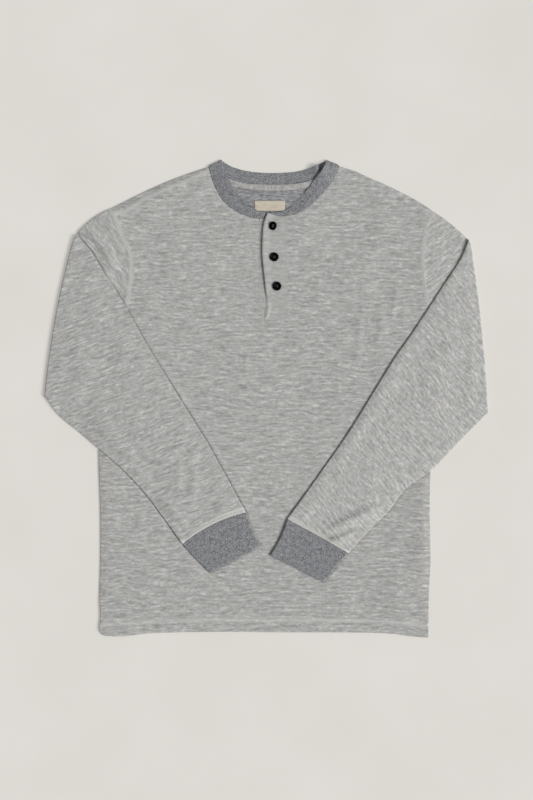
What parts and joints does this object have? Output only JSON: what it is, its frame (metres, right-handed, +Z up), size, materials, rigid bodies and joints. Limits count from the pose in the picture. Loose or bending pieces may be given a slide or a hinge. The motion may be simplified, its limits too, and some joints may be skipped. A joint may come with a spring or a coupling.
{
  "type": "henley shirt",
  "caption": "Long-sleeved henley shirt laid flat with both sleeves folded across the front, rib neckband and cuffs, half-open buttoned placket.",
  "frame": {"origin": "on the surface the shirt lies on, under the centre of its bounding box", "axes": "+Z up from the surface through the cloth's thickness, +Y from the hem towards the collar, +X towards the wearer's left"},
  "size_m": [0.7092, 0.7644, 0.014],
  "materials": {
    "slub_jersey": "matte slub cotton jersey, light warm grey with fine streaks",
    "rib_knit": "matte heather rib knit, mid grey",
    "patch_jersey": "matte heather jersey, mid grey",
    "neck_tape": "fine twill tape, light grey",
    "label_cloth": "plain woven tan label, no lettering",
    "button_plastic": "glossy black four-hole buttons"
  },
  "bodies": {
    "root": {"back_panel": "slub_jersey", "front_panel": "slub_jersey", "placket_lower": "slub_jersey", "placket_upper": "slub_jersey", "sleeve_right": "slub_jersey", "sleeve_left": "slub_jersey", "cuff_right": "rib_knit", "cuff_left": "rib_knit", "neckband": "rib_knit", "neck_patch": "patch_jersey", "neck_tape": "neck_tape", "neck_label": "label_cloth", "button_1": "button_plastic", "button_2": "button_plastic", "button_3": "button_plastic"}
  },
  "joints": []
}
